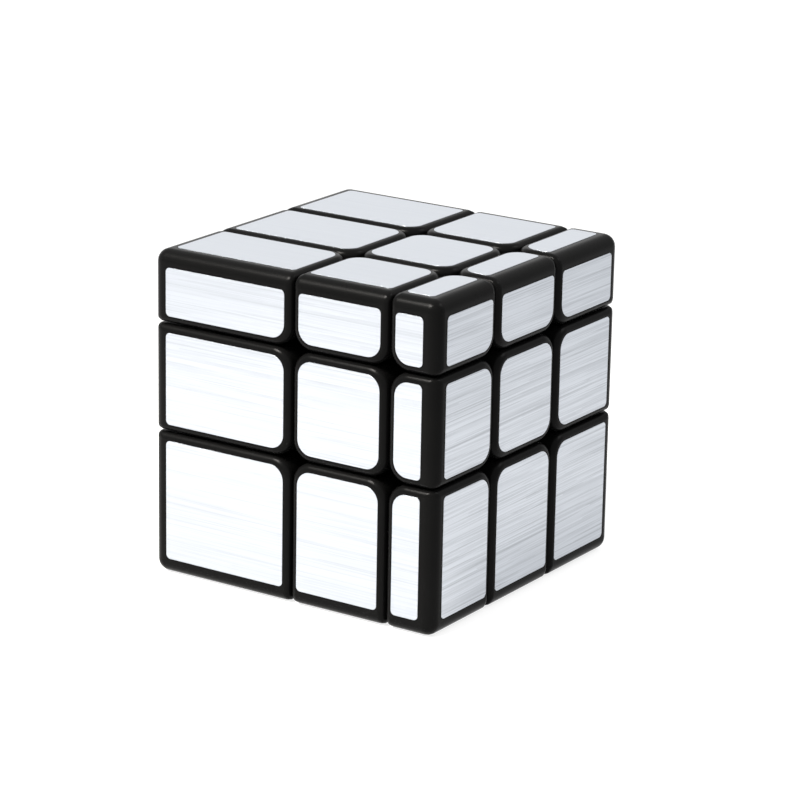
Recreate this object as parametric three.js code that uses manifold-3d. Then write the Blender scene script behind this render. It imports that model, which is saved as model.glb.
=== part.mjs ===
// Mirror block cube: a 3x3x3 twisty puzzle whose layers differ in thickness.
// Millimetres, +Z up, origin at the bottom centre of the solved cube, wide front face towards -Y.
// A six-armed core carries six spring-loaded centres. Edges and corners hang on feet trapped behind them.
// Outside the foot sphere every cut is a plane at CUT from the core centre. Inside it the planes sit at
// FOOT_CUT. Every other inner surface is a sphere about the core centre, so any face turns freely.
import * as THREE from 'three';
import { mergeVertices } from 'three/addons/utils/BufferGeometryUtils.js';
import Module from 'manifold-3d';

const wasm = await Module();
wasm.setup();

// ---- overall size and layers ----
const SIZE = 57;
const CUT = 9.5;
const LEFT_LAYER = 28.5;
const FRONT_LAYER = 17.75;
const BOTTOM_LAYER = 25.35;
const CORE_CENTRE = [LEFT_LAYER + CUT - SIZE / 2, FRONT_LAYER + CUT - SIZE / 2, BOTTOM_LAYER + CUT];
const REACH = [
  [LEFT_LAYER + CUT, SIZE - LEFT_LAYER - CUT],
  [FRONT_LAYER + CUT, SIZE - FRONT_LAYER - CUT],
  [BOTTOM_LAYER + CUT, SIZE - BOTTOM_LAYER - CUT],
];

// ---- gaps and roundings ----
const PIECE_GAP = 0.3;
const OUTER_EDGE_RADIUS = 2.2;
const GAP_EDGE_RADIUS = 1.2;
const JUNCTION_RADIUS = 3.6;
const WIDE_ARC_STEPS = 3;
const NARROW_ARC_STEPS = 2;
const WALL = 1.6;

// ---- feet ----
const FOOT_CUT = 5.5;
const FOOT_SPHERE = 18.05;
const DENT_SPHERE = 18.6;
const CORE_CLEARANCE_SPHERE = 11.7;
const CORNER_SHELL_OPENING = 21.6;
const CORNER_NECK_SPHERE = 21.3;
const CORNER_PLUG_SPHERE = 25;
const PLUG_CLEARANCE = 0.3;

// ---- core, screws, springs and washers ----
const CORE_RADIUS = 7.6;
const ARM_RADIUS = 3.6;
const ARM_END = 10.5;
const SCREW_HOLE_RADIUS = 1.35;
const SCREW_HOLE_FLOOR = 4.2;
const SHANK_RADIUS = 1.15;
const SHANK_TIP = 4.7;
const WASHER_BOTTOM = 15.1;
const WASHER_TOP = 15.5;
const WASHER_RADIUS = 2.7;
const WASHER_HOLE_RADIUS = 1.4;
const HEAD_BOTTOM = 15.7;
const HEAD_TOP = 17.2;
const HEAD_RADIUS = 2.5;
const RECESS_WIDTH = 0.7;
const RECESS_LENGTH = 2.8;
const RECESS_DEPTH = 0.8;
const SPRING_BOTTOM = 12.3;
const SPRING_TOP = 14.8;
const SPRING_RADIUS = 2.1;
const WIRE_RADIUS = 0.28;
const SPRING_TURNS = 3;
const STEPS_PER_TURN = 8;

// ---- centres ----
const STEM_RADIUS = 5.2;
const STEM_END = 10.8;
const STEM_ROOT = 18.7;
const BORE_RADIUS = 3;
const BORE_FLOOR = 12;
const SHANK_HOLE_RADIUS = 1.7;
const WELL_FLOOR = 18.9;
const WELL_HALF = 7;
const CAP_HALF = 7.6;
const CAP_CLEARANCE = 0.15;
const CAP_CORNER_RADIUS = 1.8;
const CAP_THICKNESS = 1.5;
const CAP_DISC_RADIUS = 4.3;
const CAP_DISC_THICKNESS = 1.2;

const FAR = 60;
const SPHERE_SEGMENTS = 20;
const COARSE_SPHERE_SEGMENTS = 12;
const ROUND_SEGMENTS = 16;

const BLACK_PLASTIC = { color: 0x1c1c1c, roughness: 0.45, metalness: 0 };
const GREY_NYLON = { color: 0x2b2b2d, roughness: 0.55, metalness: 0 };
const STEEL = { color: 0xb4b7ba, roughness: 0.35, metalness: 1 };

// ---- solids ----
function solidOf(geometry) {
  geometry.deleteAttribute('normal');
  geometry.deleteAttribute('uv');
  const merged = mergeVertices(geometry, 1e-5);
  return new wasm.Manifold(new wasm.Mesh({
    numProp: 3,
    vertProperties: new Float32Array(merged.attributes.position.array),
    triVerts: new Uint32Array(merged.index.array),
  }));
}

function box(low, high) {
  const size = high.map((value, axis) => value - low[axis]);
  const geometry = new THREE.BoxGeometry(...size);
  geometry.translate(...low.map((value, axis) => value + size[axis] / 2));
  return solidOf(geometry);
}

function sphere(radius, segments = SPHERE_SEGMENTS) {
  return solidOf(new THREE.SphereGeometry(radius, segments, segments / 2));
}

// Turns a geometry drawn along +Z so that it lies along the given signed axis.
function aim(geometry, axis, sign) {
  const toward = new THREE.Vector3();
  toward.setComponent(axis, sign);
  const turn = new THREE.Quaternion().setFromUnitVectors(new THREE.Vector3(0, 0, 1), toward);
  return geometry.applyQuaternion(turn);
}

function rod(radius, from, to, axis, sign) {
  const geometry = new THREE.CylinderGeometry(radius, radius, to - from, ROUND_SEGMENTS);
  geometry.rotateX(Math.PI / 2);
  geometry.translate(0, 0, (from + to) / 2);
  return solidOf(aim(geometry, axis, sign));
}

// Rectangle with its own radius at each corner: [low-low, high-low, high-high, low-high].
function roundedRectangle(low, high, radii) {
  const corners = [
    [low[0], low[1], 1, 1],
    [high[0], low[1], -1, 1],
    [high[0], high[1], -1, -1],
    [low[0], high[1], 1, -1],
  ];
  const points = [];
  corners.forEach(([x, y, inwardX, inwardY], corner) => {
    const radius = radii[corner];
    if (radius === 0) {
      points.push(new THREE.Vector2(x, y));
      return;
    }
    const start = Math.PI + corner * Math.PI / 2;
    const steps = radius > GAP_EDGE_RADIUS ? WIDE_ARC_STEPS : NARROW_ARC_STEPS;
    for (let step = 0; step <= steps; step += 1) {
      const angle = start + step / steps * Math.PI / 2;
      points.push(new THREE.Vector2(
        x + inwardX * radius + radius * Math.cos(angle),
        y + inwardY * radius + radius * Math.sin(angle),
      ));
    }
  });
  return new THREE.Shape(points);
}

// Prism along one axis. The outline uses the next two axes in cyclic order.
function prism(shape, axis, from, to) {
  const geometry = new THREE.ExtrudeGeometry(shape, { depth: to - from, bevelEnabled: false });
  geometry.translate(0, 0, from);
  const cycle = new THREE.Matrix4().set(0, 0, 1, 0, 1, 0, 0, 0, 0, 1, 0, 0, 0, 0, 0, 1);
  const turns = (axis + 1) % 3;
  for (let turn = 0; turn < turns; turn += 1) {
    geometry.applyMatrix4(cycle);
  }
  return solidOf(geometry);
}

// ---- the region one slot owns ----
function outerSpan(axis, index, inset = 0) {
  const half = PIECE_GAP / 2;
  if (index === 0) {
    return [-CUT + half + inset, CUT - half - inset];
  }
  if (index < 0) {
    return [-REACH[axis][0] + inset, -CUT - half - inset];
  }
  return [CUT + half + inset, REACH[axis][1] - inset];
}

function footSpan(index) {
  const half = PIECE_GAP / 2;
  if (index === 0) {
    return [-FOOT_CUT + half, FOOT_CUT - half];
  }
  return index < 0 ? [-FAR, -FOOT_CUT - half] : [FOOT_CUT + half, FAR];
}

function boxFromSpans(spans) {
  return box(spans.map((span) => span[0]), spans.map((span) => span[1]));
}

function isOuterSide(index, side) {
  return index !== 0 && Math.sign(index) === side;
}

function edgeRadius(slot, axisA, sideA, axisB, sideB) {
  const outerCount = Number(isOuterSide(slot[axisA], sideA)) + Number(isOuterSide(slot[axisB], sideB));
  if (outerCount === 2) {
    return OUTER_EDGE_RADIUS;
  }
  if (outerCount === 1) {
    return GAP_EDGE_RADIUS;
  }
  const along = 3 - axisA - axisB;
  return slot[along] === 0 ? 0 : JUNCTION_RADIUS;
}

// Rounded block of one slot: three rounded outlines, one along each axis, intersected.
function roundedBlock(slot) {
  const spans = [0, 1, 2].map((axis) => outerSpan(axis, slot[axis]));
  const prisms = [0, 1, 2].map((axis) => {
    const a = (axis + 1) % 3;
    const b = (axis + 2) % 3;
    const radii = [[-1, -1], [1, -1], [1, 1], [-1, 1]].map(
      ([sideA, sideB]) => edgeRadius(slot, a, sideA, b, sideB),
    );
    const outline = roundedRectangle([spans[a][0], spans[b][0]], [spans[a][1], spans[b][1]], radii);
    return prism(outline, axis, ...spans[axis]);
  });
  return prisms[0].intersect(prisms[1]).intersect(prisms[2]);
}

function cavity(slot) {
  return boxFromSpans([0, 1, 2].map((axis) => outerSpan(axis, slot[axis], WALL)));
}

function footLobe(slot) {
  return boxFromSpans([0, 1, 2].map((axis) => footSpan(slot[axis])))
    .intersect(sphere(FOOT_SPHERE))
    .subtract(sphere(CORE_CLEARANCE_SPHERE, COARSE_SPHERE_SEGMENTS));
}

// ---- the pieces ----
const AXES = [[0, -1], [0, 1], [1, -1], [1, 1], [2, -1], [2, 1]];

function core() {
  let solid = sphere(CORE_RADIUS, COARSE_SPHERE_SEGMENTS);
  for (const [axis, sign] of AXES) {
    solid = solid.add(rod(ARM_RADIUS, 0, ARM_END, axis, sign));
  }
  for (const [axis, sign] of AXES) {
    solid = solid.subtract(rod(SCREW_HOLE_RADIUS, SCREW_HOLE_FLOOR, ARM_END + 1, axis, sign));
  }
  return solid;
}

function slab(halfA, halfB, from, to, axis, sign) {
  const geometry = new THREE.BoxGeometry(halfA * 2, halfB * 2, to - from);
  geometry.translate(0, 0, (from + to) / 2);
  return solidOf(aim(geometry, axis, sign));
}

function screw(axis, sign) {
  const recessFloor = HEAD_TOP - RECESS_DEPTH;
  const halfLength = RECESS_LENGTH / 2;
  const halfWidth = RECESS_WIDTH / 2;
  return rod(HEAD_RADIUS, HEAD_BOTTOM, HEAD_TOP, axis, sign)
    .add(rod(SHANK_RADIUS, SHANK_TIP, HEAD_BOTTOM + 0.2, axis, sign))
    .subtract(slab(halfLength, halfWidth, recessFloor, HEAD_TOP + 1, axis, sign))
    .subtract(slab(halfWidth, halfLength, recessFloor, HEAD_TOP + 1, axis, sign));
}

function washer(axis, sign) {
  return rod(WASHER_RADIUS, WASHER_BOTTOM, WASHER_TOP, axis, sign)
    .subtract(rod(WASHER_HOLE_RADIUS, WASHER_BOTTOM - 1, WASHER_TOP + 1, axis, sign));
}

class Helix extends THREE.Curve {
  getPoint(t, target = new THREE.Vector3()) {
    const angle = t * SPRING_TURNS * 2 * Math.PI;
    const low = SPRING_BOTTOM + WIRE_RADIUS;
    const high = SPRING_TOP - WIRE_RADIUS;
    const x = SPRING_RADIUS * Math.cos(angle);
    const y = SPRING_RADIUS * Math.sin(angle);
    return target.set(x, y, low + t * (high - low));
  }
}

function spring(axis, sign) {
  const section = new THREE.Shape();
  for (let side = 0; side < 6; side += 1) {
    const angle = side * Math.PI / 3;
    const x = WIRE_RADIUS * Math.cos(angle);
    const y = WIRE_RADIUS * Math.sin(angle);
    if (side === 0) {
      section.moveTo(x, y);
    } else {
      section.lineTo(x, y);
    }
  }
  section.closePath();
  const geometry = new THREE.ExtrudeGeometry(section, {
    steps: SPRING_TURNS * STEPS_PER_TURN,
    extrudePath: new Helix(),
    bevelEnabled: false,
  });
  return solidOf(aim(geometry, axis, sign));
}

function slotOf(axis, sign) {
  const slot = [0, 0, 0];
  slot[axis] = sign;
  return slot;
}

function reachAlong(axis, sign) {
  return REACH[axis][sign < 0 ? 0 : 1];
}

// A deep centre has a square cap over a well. The shallow one has a small round cap over its screw bore.
function isShallow(axis, sign) {
  return reachAlong(axis, sign) - CAP_THICKNESS < WELL_FLOOR + 1;
}

function squarePlug(half, radius, from, to, axis, sign) {
  const outline = roundedRectangle([-half, -half], [half, half], [radius, radius, radius, radius]);
  const geometry = new THREE.ExtrudeGeometry(outline, { depth: to - from, bevelEnabled: false });
  geometry.translate(0, 0, from);
  return solidOf(aim(geometry, axis, sign));
}

function centreBase(axis, sign) {
  const reach = reachAlong(axis, sign);
  let solid = roundedBlock(slotOf(axis, sign))
    .subtract(sphere(DENT_SPHERE))
    .add(rod(STEM_RADIUS, STEM_END, STEM_ROOT, axis, sign));
  if (isShallow(axis, sign)) {
    const recessRadius = CAP_DISC_RADIUS + CAP_CLEARANCE;
    solid = solid.subtract(rod(recessRadius, reach - CAP_DISC_THICKNESS, reach + 1, axis, sign));
  } else {
    const ledge = reach - CAP_THICKNESS;
    const recessHalf = CAP_HALF + CAP_CLEARANCE;
    const recessRadius = CAP_CORNER_RADIUS + CAP_CLEARANCE;
    solid = solid
      .subtract(squarePlug(WELL_HALF, CAP_CORNER_RADIUS, WELL_FLOOR, reach, axis, sign))
      .subtract(squarePlug(recessHalf, recessRadius, ledge, reach + 1, axis, sign));
  }
  return solid
    .subtract(rod(BORE_RADIUS, BORE_FLOOR, reach + 1, axis, sign))
    .subtract(rod(SHANK_HOLE_RADIUS, 0, BORE_FLOOR + 1, axis, sign));
}

function centreCap(axis, sign) {
  const reach = reachAlong(axis, sign);
  if (isShallow(axis, sign)) {
    return rod(CAP_DISC_RADIUS, reach - CAP_DISC_THICKNESS, reach, axis, sign);
  }
  return squarePlug(CAP_HALF, CAP_CORNER_RADIUS, reach - CAP_THICKNESS, reach, axis, sign);
}

// An edge is one solid: a hollow block and a foot. The neck between them is the strip of block that is
// as wide as the foot and reaches inside the dent sphere. The hollow opens into the dent beside the neck.
function edge(slot) {
  const neckStrip = boxFromSpans([0, 1, 2].map((axis) => (
    slot[axis] === 0 ? footSpan(0) : [-FAR, FAR]
  )));
  return roundedBlock(slot)
    .subtract(sphere(DENT_SPHERE).subtract(neckStrip))
    .subtract(cavity(slot))
    .add(footLobe(slot));
}

function cornerShell(slot) {
  return roundedBlock(slot)
    .subtract(sphere(CORNER_SHELL_OPENING))
    .subtract(cavity(slot));
}

function cornerFoot(slot) {
  const neck = boxFromSpans([0, 1, 2].map((axis) => outerSpan(axis, slot[axis])))
    .intersect(sphere(CORNER_NECK_SPHERE));
  const plug = boxFromSpans([0, 1, 2].map((axis) => outerSpan(axis, slot[axis], WALL + PLUG_CLEARANCE)))
    .intersect(sphere(CORNER_PLUG_SPHERE));
  return footLobe(slot).add(neck).add(plug);
}

// ---- assembly ----
const group = new THREE.Group();
group.name = 'mirror_block_cube';

function place(name, solid, finish) {
  const source = solid.getMesh();
  const geometry = new THREE.BufferGeometry();
  geometry.setAttribute('position', new THREE.BufferAttribute(new Float32Array(source.vertProperties), 3));
  geometry.setIndex(new THREE.BufferAttribute(new Uint32Array(source.triVerts), 1));
  geometry.translate(...CORE_CENTRE);
  geometry.computeVertexNormals();
  const mesh = new THREE.Mesh(geometry, new THREE.MeshStandardMaterial({ ...finish }));
  mesh.name = name;
  group.add(mesh);
}

const SIDE_WORDS = [['left', 'right'], ['front', 'back'], ['bottom', 'top']];

function word(axis, index) {
  return SIDE_WORDS[axis][index < 0 ? 0 : 1];
}

// Names read top or bottom first, then front or back, then left or right.
function slotName(slot) {
  return [2, 1, 0].filter((axis) => slot[axis] !== 0).map((axis) => word(axis, slot[axis])).join('_');
}

place('core', core(), GREY_NYLON);
for (const [axis, sign] of AXES) {
  const side = word(axis, sign);
  place(`screw_${side}`, screw(axis, sign), STEEL);
  place(`washer_${side}`, washer(axis, sign), STEEL);
  place(`spring_${side}`, spring(axis, sign), STEEL);
  place(`centre_${side}`, centreBase(axis, sign), BLACK_PLASTIC);
  place(`cap_${side}`, centreCap(axis, sign), BLACK_PLASTIC);
}
for (const x of [-1, 0, 1]) {
  for (const y of [-1, 0, 1]) {
    for (const z of [-1, 0, 1]) {
      const slot = [x, y, z];
      const outerFaces = slot.filter((index) => index !== 0).length;
      if (outerFaces === 2) {
        place(`edge_${slotName(slot)}`, edge(slot), BLACK_PLASTIC);
      }
      if (outerFaces === 3) {
        place(`corner_${slotName(slot)}`, cornerShell(slot), BLACK_PLASTIC);
        place(`corner_foot_${slotName(slot)}`, cornerFoot(slot), BLACK_PLASTIC);
      }
    }
  }
}

export default group;
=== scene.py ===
"""Mirror block cube: smooth blocks, foil stickers, materials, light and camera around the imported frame.

Shapes are drawn in millimetres about the core centre, and written in metres in the frame's own place.
"""
import itertools
import math
import bmesh
import bpy
from mathutils import Matrix, Vector


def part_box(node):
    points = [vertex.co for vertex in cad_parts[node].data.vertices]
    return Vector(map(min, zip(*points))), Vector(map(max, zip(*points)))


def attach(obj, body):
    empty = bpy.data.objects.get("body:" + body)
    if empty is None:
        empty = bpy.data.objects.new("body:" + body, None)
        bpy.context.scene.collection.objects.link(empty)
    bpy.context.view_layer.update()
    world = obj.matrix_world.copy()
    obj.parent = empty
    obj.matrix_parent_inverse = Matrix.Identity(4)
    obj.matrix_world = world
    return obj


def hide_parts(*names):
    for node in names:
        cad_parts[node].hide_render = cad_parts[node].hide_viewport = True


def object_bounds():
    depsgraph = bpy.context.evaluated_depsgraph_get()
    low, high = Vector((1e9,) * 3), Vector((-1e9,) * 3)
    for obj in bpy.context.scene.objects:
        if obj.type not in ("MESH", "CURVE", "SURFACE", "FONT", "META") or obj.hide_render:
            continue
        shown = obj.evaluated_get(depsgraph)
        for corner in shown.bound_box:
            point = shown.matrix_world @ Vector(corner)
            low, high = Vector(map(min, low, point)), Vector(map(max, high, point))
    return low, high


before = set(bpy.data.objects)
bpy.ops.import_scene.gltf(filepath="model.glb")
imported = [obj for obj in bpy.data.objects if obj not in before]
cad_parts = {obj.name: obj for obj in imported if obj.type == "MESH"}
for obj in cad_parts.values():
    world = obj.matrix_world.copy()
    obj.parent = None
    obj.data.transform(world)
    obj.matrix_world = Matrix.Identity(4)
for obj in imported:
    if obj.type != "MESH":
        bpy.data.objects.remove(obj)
cad_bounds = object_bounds()

# ---- layers, gaps and roundings, in millimetres ----
MM = 0.001
CUT = 9.5
HALF_GAP = 0.15
OUTER_EDGE_RADIUS = 2.2
GAP_EDGE_RADIUS = 1.2
JUNCTION_RADIUS = 3.6
COLUMN_SEGMENTS = 10
RIM_SEGMENTS = 6
FLUSH = 0.001
FLAT_ANGLE = math.radians(5)

# ---- feet and centres ----
FOOT_CUT = 5.5
FOOT_SPHERE = 18.05
DENT_SPHERE = 18.6
CORE_CLEARANCE_SPHERE = 11.7
CORNER_SHELL_OPENING = 21.6
STEM_RADIUS = 5.2
STEM_END = 10.8
STEM_ROOT = 18.7
BORE_RADIUS = 3.0
BORE_FLOOR = 12.0
BORE_END_DEPTH = 1.0
CAP_HALF = 7.6
CAP_CLEARANCE = 0.15
CAP_CORNER_RADIUS = 1.8
CAP_THICKNESS = 1.5
CAP_CHAMFER = 0.08
CAP_ARC_STEPS = 6
RECESS_CHAMFER = 0.1
SHALLOW_MARGIN = 1.0
DISC_RADIUS = 4.3
DISC_THICKNESS = 1.2
OVERSHOOT = 1.0
FAR = 60.0
SPHERE_SEGMENTS = 64
SPHERE_RINGS = 32
ROD_SEGMENTS = 64

# ---- stickers ----
OUTER_MARGIN = 2.8
CUT_MARGIN = 1.45
STICKER_THICKNESS = 0.12
STICKER_PROUD = 0.06
STICKER_CHAMFER = 0.02
STICKER_CORNER = 0.8
STICKER_JUNCTION_CORNER = 2.6
STICKER_ARC_STEPS = 8

# ---- shading angles, in degrees ----
BLOCK_SHARP_ANGLE = 35
STICKER_SHARP_ANGLE = 50

# ---- materials: colours, cycles per metre, and heights in metres ----
PLASTIC_CLOUD = 90
PLASTIC_GRAIN = 5200
PLASTIC_GRAIN_HEIGHT = 0.000012
PLASTIC_GRAIN_STRENGTH = 0.35
FOIL = (0.474, 0.500, 0.540)
FOIL_ROUGHNESS = 0.35
FOIL_ROUGHNESS_PER_RELIEF = 0.25
STREAK_HEIGHT = 0.00002
STREAKS_ACROSS, STREAKS_ALONG = 6000.0, 55.0
HAIRLINES_ACROSS, HAIRLINES_ALONG = 5600.0, 40.0
BANDS_ACROSS, BANDS_ALONG = 420.0, 14.0
HAIRLINE_DEPTH = 2.0
BAND_DEPTH = 0.15
STEEL_DARK = (0.42, 0.43, 0.44)
STEEL_LIGHT = (0.60, 0.61, 0.62)
STEEL_CLOUD = 700
STEEL_GRAIN = 4000
STEEL_GRAIN_HEIGHT = 0.00001
STEEL_GRAIN_STRENGTH = 0.3

# ---- floor, world and camera ----
FLOOR_HALF = 6.0
FLOOR_DROP = 0.00008
FLOOR_GREY = 0.3
FLOOR_GLOW = 0.78
WORLD_STRENGTH = 1.0
CAMERA_PLACE = Vector((302.25, -467.09, 165.81))
AZIMUTH, ELEVATION, ROLL = (math.radians(value) for value in (33.419, 16.982, 1.048))
LENS = 154.37
SENSOR_WIDTH = 36
CLIP_START, CLIP_END = 0.01, 50

AXES = (0, 1, 2)
SIDE_WORDS = (("left", "right"), ("front", "back"), ("bottom", "top"))

low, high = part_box("core")
CORE = (low + high) / 2 / MM
box_low, box_high = (Vector(corner) / MM - CORE for corner in cad_bounds)


# ---- slots ----
def word(axis, index):
    return SIDE_WORDS[axis][0 if index < 0 else 1]


def slot_name(slot):
    return "_".join(word(axis, slot[axis]) for axis in (2, 1, 0) if slot[axis])


def outer_span(axis, index):
    """From where to where a block in layer -1, 0 or 1 reaches along an axis, outside the feet."""
    if index == 0:
        return -CUT + HALF_GAP, CUT - HALF_GAP
    if index < 0:
        return box_low[axis], -CUT - HALF_GAP
    return CUT + HALF_GAP, box_high[axis]


def foot_span(index):
    """The same for a foot, whose cuts lie nearer to the core."""
    if index == 0:
        return -FOOT_CUT + HALF_GAP, FOOT_CUT - HALF_GAP
    if index < 0:
        return -FAR, -FOOT_CUT - HALF_GAP
    return FOOT_CUT + HALF_GAP, FAR


def reach(axis, sign):
    return abs(box_low[axis] if sign < 0 else box_high[axis])


# ---- mesh tools ----
def mesh_from(bm, name="shape"):
    mesh = bpy.data.meshes.new(name)
    bm.to_mesh(mesh)
    bm.free()
    return mesh


def evaluated(mesh, *modifiers):
    """The mesh after some modifiers, each given as (type, settings)."""
    holder = bpy.data.objects.new("holder", mesh)
    bpy.context.scene.collection.objects.link(holder)
    for kind, settings in modifiers:
        modifier = holder.modifiers.new(kind.lower(), kind)
        for key, value in settings.items():
            setattr(modifier, key, value)
    graph = bpy.context.evaluated_depsgraph_get()
    result = bpy.data.meshes.new_from_object(holder.evaluated_get(graph))
    bpy.data.objects.remove(holder)
    return result


def boolean(mesh, operation, other):
    cutter = bpy.data.objects.new("cutter", other)
    bpy.context.scene.collection.objects.link(cutter)
    result = evaluated(mesh, ("BOOLEAN", {"operation": operation, "solver": "EXACT", "object": cutter}))
    bpy.data.objects.remove(cutter)
    return result


def box_mesh(spans):
    bm = bmesh.new()
    bmesh.ops.create_cube(bm, size=1.0)
    for vertex in bm.verts:
        vertex.co = [spans[axis][0 if vertex.co[axis] < 0 else 1] for axis in AXES]
    return mesh_from(bm)


def sphere_mesh(radius):
    bm = bmesh.new()
    bmesh.ops.create_uvsphere(bm, u_segments=SPHERE_SEGMENTS, v_segments=SPHERE_RINGS, radius=radius)
    return mesh_from(bm)


def toward(axis, sign):
    """The turn that takes z to a signed axis."""
    direction = Vector((0, 0, 0))
    direction[axis] = sign
    return direction.to_track_quat("Z", "Y").to_matrix().to_4x4()


def rod_mesh(radius, start, end, axis, sign):
    """A round rod between two distances from the core centre, along a signed axis."""
    bm = bmesh.new()
    bmesh.ops.create_cone(
        bm, cap_ends=True, segments=ROD_SEGMENTS, radius1=radius, radius2=radius, depth=end - start,
        matrix=toward(axis, sign) @ Matrix.Translation((0, 0, (start + end) / 2)),
    )
    return mesh_from(bm)


def outline(low_corner, high_corner, radii, steps):
    """Points of a rectangle with its own radius at each corner, anticlockwise from low-low."""
    corners = (
        (low_corner[0], low_corner[1], 1, 1),
        (high_corner[0], low_corner[1], -1, 1),
        (high_corner[0], high_corner[1], -1, -1),
        (low_corner[0], high_corner[1], 1, -1),
    )
    points = []
    for number, (x, y, inward_x, inward_y) in enumerate(corners):
        radius = radii[number]
        for step in range(steps + 1):
            angle = math.pi + (number + step / steps) * math.pi / 2
            points.append((
                x + inward_x * radius + radius * math.cos(angle),
                y + inward_y * radius + radius * math.sin(angle),
            ))
    return points


def lofted(rings):
    """A closed solid through rings of equal length, with flat ends."""
    bm = bmesh.new()
    rows = [[bm.verts.new(point) for point in ring] for ring in rings]
    count = len(rows[0])
    for lower, upper in zip(rows, rows[1:]):
        for k in range(count):
            following = (k + 1) % count
            bm.faces.new((lower[k], lower[following], upper[following], upper[k]))
    bm.faces.new(list(reversed(rows[0])))
    bm.faces.new(rows[-1])
    bmesh.ops.recalc_face_normals(bm, faces=bm.faces)
    return mesh_from(bm)


def finished(name, mesh, body, material, sharp=BLOCK_SHARP_ANGLE):
    """Puts a mesh drawn about the core centre into the frame, shades it, and rides it on a body."""
    mesh.name = name
    mesh.transform(Matrix.Scale(MM, 4) @ Matrix.Translation(CORE))
    mesh.materials.clear()
    mesh.materials.append(material)
    mesh.shade_smooth()
    mesh.set_sharp_from_angle(angle=math.radians(sharp))
    piece = bpy.data.objects.new(name, mesh)
    bpy.context.scene.collection.objects.link(piece)
    normals = piece.modifiers.new("normals", "WEIGHTED_NORMAL")
    normals.keep_sharp = True
    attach(piece, body)
    return piece


# ---- materials ----
def node_material(name, **sockets):
    """A new node material, with constants set on its shader's own sockets."""
    material = bpy.data.materials.new(name)
    material.use_nodes = True
    shader = material.node_tree.nodes["Principled BSDF"]
    for key, value in sockets.items():
        shader.inputs[key.replace("_", " ")].default_value = value
    return material, material.node_tree, shader


def stretched(tree, texture_type, scale):
    """A texture node in the piece's own coordinates, in cycles per metre along each axis."""
    coordinates = tree.nodes.new("ShaderNodeTexCoord")
    mapping = tree.nodes.new("ShaderNodeMapping")
    mapping.inputs["Scale"].default_value = scale
    texture = tree.nodes.new(texture_type)
    texture.inputs["Scale"].default_value = 1.0
    tree.links.new(coordinates.outputs["Object"], mapping.inputs["Vector"])
    tree.links.new(mapping.outputs["Vector"], texture.inputs["Vector"])
    return texture


def stretched_noise(tree, scale, detail=4.0, roughness=0.6):
    noise = stretched(tree, "ShaderNodeTexNoise", scale)
    noise.inputs["Detail"].default_value = detail
    noise.inputs["Roughness"].default_value = roughness
    return noise.outputs["Fac"]


def stretched_cells(tree, scale):
    """Irregular cells, each with its own random shade."""
    return stretched(tree, "ShaderNodeTexVoronoi", scale).outputs["Color"]


def ramp(tree, source, stops):
    """Turns a value into a colour, through stops given as (position, colour)."""
    node = tree.nodes.new("ShaderNodeValToRGB")
    elements = node.color_ramp.elements
    while len(elements) < len(stops):
        elements.new(0.5)
    for element, (position, colour) in zip(elements, stops):
        element.position = position
        element.color = (*colour, 1.0)
    tree.links.new(source, node.inputs["Fac"])
    return node.outputs["Color"]


def span(tree, source, low_value, high_value, from_low=0.3, from_high=0.7):
    """Maps the range from_low to from_high of a value to low_value to high_value, and holds it beyond."""
    node = tree.nodes.new("ShaderNodeMapRange")
    node.inputs["From Min"].default_value = from_low
    node.inputs["From Max"].default_value = from_high
    node.inputs["To Min"].default_value = low_value
    node.inputs["To Max"].default_value = high_value
    tree.links.new(source, node.inputs["Value"])
    return node.outputs["Result"]


def bump(tree, shader, source, distance, strength):
    node = tree.nodes.new("ShaderNodeBump")
    node.inputs["Strength"].default_value = strength
    node.inputs["Distance"].default_value = distance
    tree.links.new(source, node.inputs["Height"])
    tree.links.new(node.outputs["Normal"], shader.inputs["Normal"])


def clouded(tree, shader, cloud, dark, light, dull, shiny):
    """Lets colour and roughness drift together: dark where dull, and light where shiny."""
    tree.links.new(ramp(tree, cloud, ((0.3, dark), (0.7, light))), shader.inputs["Base Color"])
    tree.links.new(span(tree, cloud, dull, shiny), shader.inputs["Roughness"])


def moulded_plastic(name, dark, light, dull, shiny, level):
    material, tree, shader = node_material(name, Specular_IOR_Level=level)
    clouded(tree, shader, stretched_noise(tree, [PLASTIC_CLOUD] * 3, detail=3), dark, light, dull, shiny)
    grain = stretched_noise(tree, [PLASTIC_GRAIN] * 3, detail=3, roughness=0.55)
    bump(tree, shader, grain, PLASTIC_GRAIN_HEIGHT, PLASTIC_GRAIN_STRENGTH)
    return material


def plated_steel(name):
    material, tree, shader = node_material(name, Metallic=1.0)
    clouded(tree, shader, stretched_noise(tree, [STEEL_CLOUD] * 3), STEEL_DARK, STEEL_LIGHT, 0.42, 0.26)
    bump(tree, shader, stretched_noise(tree, [STEEL_GRAIN] * 3), STEEL_GRAIN_HEIGHT, STEEL_GRAIN_STRENGTH)
    return material


def darkened(tree, colour, source, shade, from_low, from_high):
    """Multiplies a colour by a shade where the source is below from_low, and leaves it above from_high."""
    mix = tree.nodes.new("ShaderNodeMix")
    mix.data_type = "RGBA"
    mix.blend_type = "MULTIPLY"
    tree.links.new(span(tree, source, 1.0, 0.0, from_low, from_high), mix.inputs["Factor"])
    tree.links.new(colour, mix.inputs["A"])
    mix.inputs["B"].default_value = (shade, shade, shade, 1.0)
    return mix.outputs["Result"]


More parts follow.
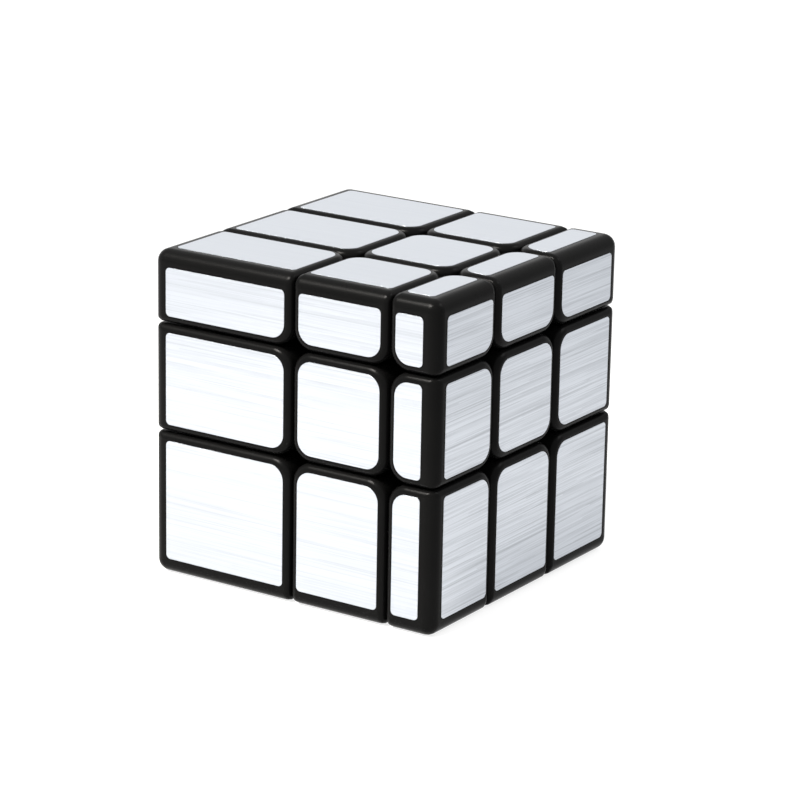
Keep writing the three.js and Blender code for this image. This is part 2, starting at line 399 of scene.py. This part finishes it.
def brushed_foil(name, along, contrast, anisotropy, relief):
    """Silver foil brushed along one axis: fine streaks of random shade, dark hairlines and faint bands."""
    material, tree, shader = node_material(name, Metallic=1.0, Anisotropic=anisotropy)

    def lined(across, lengthwise):
        scale = [across] * 3
        scale[along] = lengthwise
        return scale

    streaks = stretched_cells(tree, lined(STREAKS_ACROSS, STREAKS_ALONG))
    hairlines = stretched_cells(tree, lined(HAIRLINES_ACROSS, HAIRLINES_ALONG))
    bands = stretched_noise(tree, lined(BANDS_ACROSS, BANDS_ALONG), detail=3)
    # The contrast, set per face below, paints the foil's sheen: its streaks, hairlines and bands stand out
    # more or less as the light would show them on that face.
    dark = [value * (1 - contrast) for value in FOIL]
    light = [value * (1 + contrast) for value in FOIL]
    colour = ramp(tree, streaks, ((0.25, dark), (0.5, FOIL), (0.75, light)))
    colour = darkened(tree, colour, hairlines, 1 - HAIRLINE_DEPTH * contrast, 0.20, 0.26)
    colour = darkened(tree, colour, bands, 1 - BAND_DEPTH * contrast, 0.4, 0.6)
    tree.links.new(colour, shader.inputs["Base Color"])
    change = FOIL_ROUGHNESS_PER_RELIEF * relief
    roughness = span(tree, streaks, FOIL_ROUGHNESS + change, FOIL_ROUGHNESS - change)
    tree.links.new(roughness, shader.inputs["Roughness"])
    bump(tree, shader, streaks, STREAK_HEIGHT, relief)
    return material


black_plastic = moulded_plastic(
    "black_plastic", dark=(0.0026, 0.0026, 0.0026), light=(0.0034, 0.0034, 0.0034),
    dull=0.29, shiny=0.21, level=0.038)
grey_nylon = moulded_plastic(
    "grey_nylon", dark=(0.020, 0.020, 0.022), light=(0.028, 0.028, 0.030),
    dull=0.62, shiny=0.54, level=0.4)
# One foil in three copies, with painted sheen in its streak contrast: strongest on the left and right
# faces, weaker on the front and back, and faint on the top and bottom.
foil_front = brushed_foil("foil_brushed_along_x", along=0, contrast=0.038, anisotropy=0.35, relief=0.2)
foil_side = brushed_foil("foil_brushed_along_y", along=1, contrast=0.082, anisotropy=0.35, relief=0.2)
foil_top = brushed_foil("foil_brushed_along_x_painted_faint_sheen", along=0, contrast=0.008, anisotropy=0.0, relief=0.04)
turned_steel = plated_steel("zinc_plated_steel")


# ---- blocks ----
def rounded_block(slot):
    """A block rounded at the columns where four blocks meet, and then at the rims of its outer faces."""
    spans = [outer_span(axis, slot[axis]) for axis in AXES]

    def lies_on(edge, axis, plane):
        return all(abs(vertex.co[axis] - plane) < FLUSH for vertex in edge.verts)

    def outer_planes(edge):
        """How many of the cube's outer planes an edge lies on."""
        return sum(1 for axis in AXES if slot[axis] and lies_on(edge, axis, spans[axis][slot[axis] > 0]))

    def runs_along(edge):
        step = edge.verts[1].co - edge.verts[0].co
        return max(AXES, key=lambda axis: abs(step[axis]))

    bm = bmesh.new()
    bm.from_mesh(box_mesh(spans))
    columns = [edge for edge in bm.edges if outer_planes(edge) == 0 and slot[runs_along(edge)]]
    bmesh.ops.bevel(
        bm, geom=columns, offset=JUNCTION_RADIUS, offset_type="OFFSET", segments=COLUMN_SEGMENTS,
        profile=0.5, affect="EDGES", clamp_overlap=True,
    )
    weights = bm.edges.layers.float.new("bevel_weight_edge")
    for edge in bm.edges:
        planes = outer_planes(edge)
        if planes and edge.calc_face_angle(0.0) > FLAT_ANGLE:
            radius = OUTER_EDGE_RADIUS if planes == 2 else GAP_EDGE_RADIUS
            edge[weights] = radius / OUTER_EDGE_RADIUS
    rims = {
        "limit_method": "WEIGHT", "width": OUTER_EDGE_RADIUS, "segments": RIM_SEGMENTS,
        "offset_type": "OFFSET", "miter_outer": "MITER_SHARP", "use_clamp_overlap": True,
    }
    return evaluated(mesh_from(bm), ("BEVEL", rims))


dent = sphere_mesh(DENT_SPHERE)
foot_ball = sphere_mesh(FOOT_SPHERE)
core_ball = sphere_mesh(CORE_CLEARANCE_SPHERE)


def edge_mesh(slot):
    """An edge block, dented round the core but for a strip, with its foot."""
    strip = box_mesh([foot_span(0) if slot[axis] == 0 else (-FAR, FAR) for axis in AXES])
    lobe = box_mesh([foot_span(slot[axis]) for axis in AXES])
    lobe = boolean(boolean(lobe, "INTERSECT", foot_ball), "DIFFERENCE", core_ball)
    body = boolean(rounded_block(slot), "DIFFERENCE", boolean(dent, "DIFFERENCE", strip))
    return boolean(body, "UNION", lobe)


def corner_mesh(slot):
    """A corner shell, opened toward the core, where the corner's foot from the frame plugs it."""
    return boolean(rounded_block(slot), "DIFFERENCE", sphere_mesh(CORNER_SHELL_OPENING))


def place_on(axis, sign, points, height):
    """3-D points at a height along a signed axis, from points on the two other axes in cyclic order."""
    a, b = (axis + 1) % 3, (axis + 2) % 3
    placed = []
    for first, second in points:
        point = [0.0, 0.0, 0.0]
        point[axis] = sign * height
        point[a] = first
        point[b] = second
        placed.append(point)
    return placed


def plate(axis, sign, half, corner, bottom, top, chamfer):
    """A square plate with rounded corners and a chamfer round its outer face."""
    def ring(inset, height):
        points = outline((-half + inset,) * 2, (half - inset,) * 2, (corner - inset,) * 4, CAP_ARC_STEPS)
        return place_on(axis, sign, points, height)
    return lofted([ring(0, bottom), ring(0, top - chamfer), ring(chamfer, top)])


def is_shallow(axis, sign):
    """A centre with no room for a square cap over its stem, which has a small round cap instead."""
    return reach(axis, sign) - CAP_THICKNESS < STEM_ROOT + SHALLOW_MARGIN


def centre_meshes(axis, sign):
    """A centre block with its stem, bore and cap recess, and the cap."""
    slot = [0, 0, 0]
    slot[axis] = sign
    top = reach(axis, sign)
    base = boolean(rounded_block(slot), "DIFFERENCE", dent)
    base = boolean(base, "UNION", rod_mesh(STEM_RADIUS, STEM_END, STEM_ROOT, axis, sign))
    if is_shallow(axis, sign):
        recess = rod_mesh(DISC_RADIUS + CAP_CLEARANCE, top - DISC_THICKNESS, top + OVERSHOOT, axis, sign)
        cap = rod_mesh(DISC_RADIUS, top - DISC_THICKNESS, top, axis, sign)
    else:
        recess = plate(axis, sign, CAP_HALF + CAP_CLEARANCE, CAP_CORNER_RADIUS + CAP_CLEARANCE,
                       top - CAP_THICKNESS, top + OVERSHOOT, RECESS_CHAMFER)
        cap = plate(axis, sign, CAP_HALF, CAP_CORNER_RADIUS, top - CAP_THICKNESS, top, CAP_CHAMFER)
    base = boolean(base, "DIFFERENCE", recess)
    bore = rod_mesh(BORE_RADIUS, BORE_FLOOR, top - BORE_END_DEPTH, axis, sign)
    return boolean(base, "DIFFERENCE", bore), cap


# ---- stickers ----
def sticker_mesh(slot, axis, sign):
    """A thin sheet on one outer face, with small corners at the cube's own edges and large ones inside."""
    a, b = (axis + 1) % 3, (axis + 2) % 3
    spans = []
    for other in (a, b):
        start, end = outer_span(other, slot[other])
        start += OUTER_MARGIN if slot[other] < 0 else CUT_MARGIN - HALF_GAP
        end -= OUTER_MARGIN if slot[other] > 0 else CUT_MARGIN - HALF_GAP
        spans.append((start, end))
    radii = [
        STICKER_CORNER if slot[a] == side_a or slot[b] == side_b else STICKER_JUNCTION_CORNER
        for side_a, side_b in ((-1, -1), (1, -1), (1, 1), (-1, 1))
    ]

    def ring(inset, height):
        points = outline(
            (spans[0][0] + inset, spans[1][0] + inset), (spans[0][1] - inset, spans[1][1] - inset),
            [radius - inset for radius in radii], STICKER_ARC_STEPS)
        return place_on(axis, sign, points, reach(axis, sign) + height)
    return lofted([
        ring(0, STICKER_PROUD - STICKER_THICKNESS),
        ring(0, STICKER_PROUD - STICKER_CHAMFER),
        ring(STICKER_CHAMFER, STICKER_PROUD),
    ])


def add_stickers(slot, body):
    for axis in AXES:
        if slot[axis]:
            material = (foil_side, foil_front, foil_top)[axis]
            name = f"sticker_{slot_name(slot)}_on_{word(axis, slot[axis])}"
            mesh = sticker_mesh(slot, axis, slot[axis])
            finished(name, mesh, body, material, sharp=STICKER_SHARP_ANGLE)


# ---- assembly ----
for slot in itertools.product((-1, 0, 1), repeat=3):
    name = slot_name(slot)
    faces = sum(1 for index in slot if index)
    if faces == 1:
        axis = next(axis for axis in AXES if slot[axis])
        base, cap = centre_meshes(axis, slot[axis])
        piece = finished(f"centre_block_{name}", base, f"centre_{name}", black_plastic)
        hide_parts(f"centre_{name}")
        piece = finished(f"centre_cap_{name}", cap, f"centre_{name}", black_plastic)
        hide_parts(f"cap_{name}")
        add_stickers(slot, f"centre_{name}")
    if faces == 2:
        mesh = edge_mesh(slot)
        piece = finished(f"edge_block_{name}", mesh, f"edge_{name}", black_plastic)
        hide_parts(f"edge_{name}")
        add_stickers(slot, f"edge_{name}")
    if faces == 3:
        mesh = corner_mesh(slot)
        piece = finished(f"corner_block_{name}", mesh, f"corner_{name}", black_plastic)
        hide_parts(f"corner_{name}")
        add_stickers(slot, f"corner_{name}")

for name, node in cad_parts.items():
    kind = name.split("_")[0]
    material = {"core": grey_nylon, "corner": black_plastic}.get(kind, turned_steel)
    if not node.hide_render:
        node.data.materials.clear()
        node.data.materials.append(material)

# ---- floor: it glows faintly, and is seen through from below ----
floor_bm = bmesh.new()
bmesh.ops.create_grid(floor_bm, x_segments=1, y_segments=1, size=FLOOR_HALF)
floor = bpy.data.objects.new("floor", mesh_from(floor_bm, "floor"))
floor.location.z = -FLOOR_DROP
bpy.context.scene.collection.objects.link(floor)
floor_material, floor_tree, floor_shader = node_material(
    "pale_floor", Base_Color=(FLOOR_GREY, FLOOR_GREY, FLOOR_GREY, 1), Roughness=0.9, Specular_IOR_Level=0.1,
    Emission_Color=(1, 1, 1, 1), Emission_Strength=FLOOR_GLOW)
see_through = floor_tree.nodes.new("ShaderNodeBsdfTransparent")
facing = floor_tree.nodes.new("ShaderNodeNewGeometry")
one_sided = floor_tree.nodes.new("ShaderNodeMixShader")
floor_tree.links.new(facing.outputs["Backfacing"], one_sided.inputs["Fac"])
floor_tree.links.new(floor_shader.outputs["BSDF"], one_sided.inputs[1])
floor_tree.links.new(see_through.outputs["BSDF"], one_sided.inputs[2])
floor_tree.links.new(one_sided.outputs["Shader"], floor_tree.nodes["Material Output"].inputs["Surface"])
floor.data.materials.append(floor_material)

# ---- light ----
world = bpy.data.worlds.new("studio")
bpy.context.scene.world = world
world.use_nodes = True
world.node_tree.nodes["Background"].inputs["Color"].default_value = (1, 1, 1, 1)
world.node_tree.nodes["Background"].inputs["Strength"].default_value = WORLD_STRENGTH


def softbox(name, position, target, size, power, spread, colour=(1, 1, 1)):
    """A rectangular area light: places in metres, power in watts, spread in degrees."""
    light = bpy.data.lights.new(name, "AREA")
    light.shape = "RECTANGLE"
    light.size, light.size_y = size
    light.energy = power
    light.spread = math.radians(spread)
    light.color = colour
    lamp = bpy.data.objects.new(name, light)
    lamp.location = position
    lamp.rotation_euler = (Vector(target) - Vector(position)).to_track_quat("-Z", "Y").to_euler()
    bpy.context.scene.collection.objects.link(lamp)


softbox("softbox_front_left", position=(-0.16, -0.34, 0.42), target=(-0.05, -0.11, 0.0), size=(0.25, 0.25),
        power=1.2, spread=45, colour=(1, 0.96, 0.905))
softbox("softbox_back_right", position=(0.30, 0.26, 0.40), target=(0.045, 0.035, 0.0), size=(0.25, 0.25),
        power=0.06, spread=45)
softbox("softbox_back_left", position=(-0.7, 0.9, 0.45), target=(0, 0, 0.03), size=(0.8, 0.5),
        power=0.55, spread=180)

# ---- camera, placed in millimetres about the core centre ----
back = Vector((math.sin(AZIMUTH) * math.cos(ELEVATION),
               -math.cos(AZIMUTH) * math.cos(ELEVATION),
               math.sin(ELEVATION)))
level_right = Vector((0, 0, 1)).cross(back).normalized()
level_up = back.cross(level_right)
right = math.cos(ROLL) * level_right + math.sin(ROLL) * level_up
up = -math.sin(ROLL) * level_right + math.cos(ROLL) * level_up
camera_data = bpy.data.cameras.new("camera")
camera_data.lens = LENS
camera_data.sensor_width = SENSOR_WIDTH
camera_data.clip_start = CLIP_START
camera_data.clip_end = CLIP_END
camera = bpy.data.objects.new("camera", camera_data)
turn = Matrix((right, up, back)).transposed().to_4x4()
camera.matrix_world = Matrix.Translation((CAMERA_PLACE + CORE) * MM) @ turn
bpy.context.scene.collection.objects.link(camera)
bpy.context.scene.camera = camera
bpy.context.scene.view_settings.view_transform = "Standard"
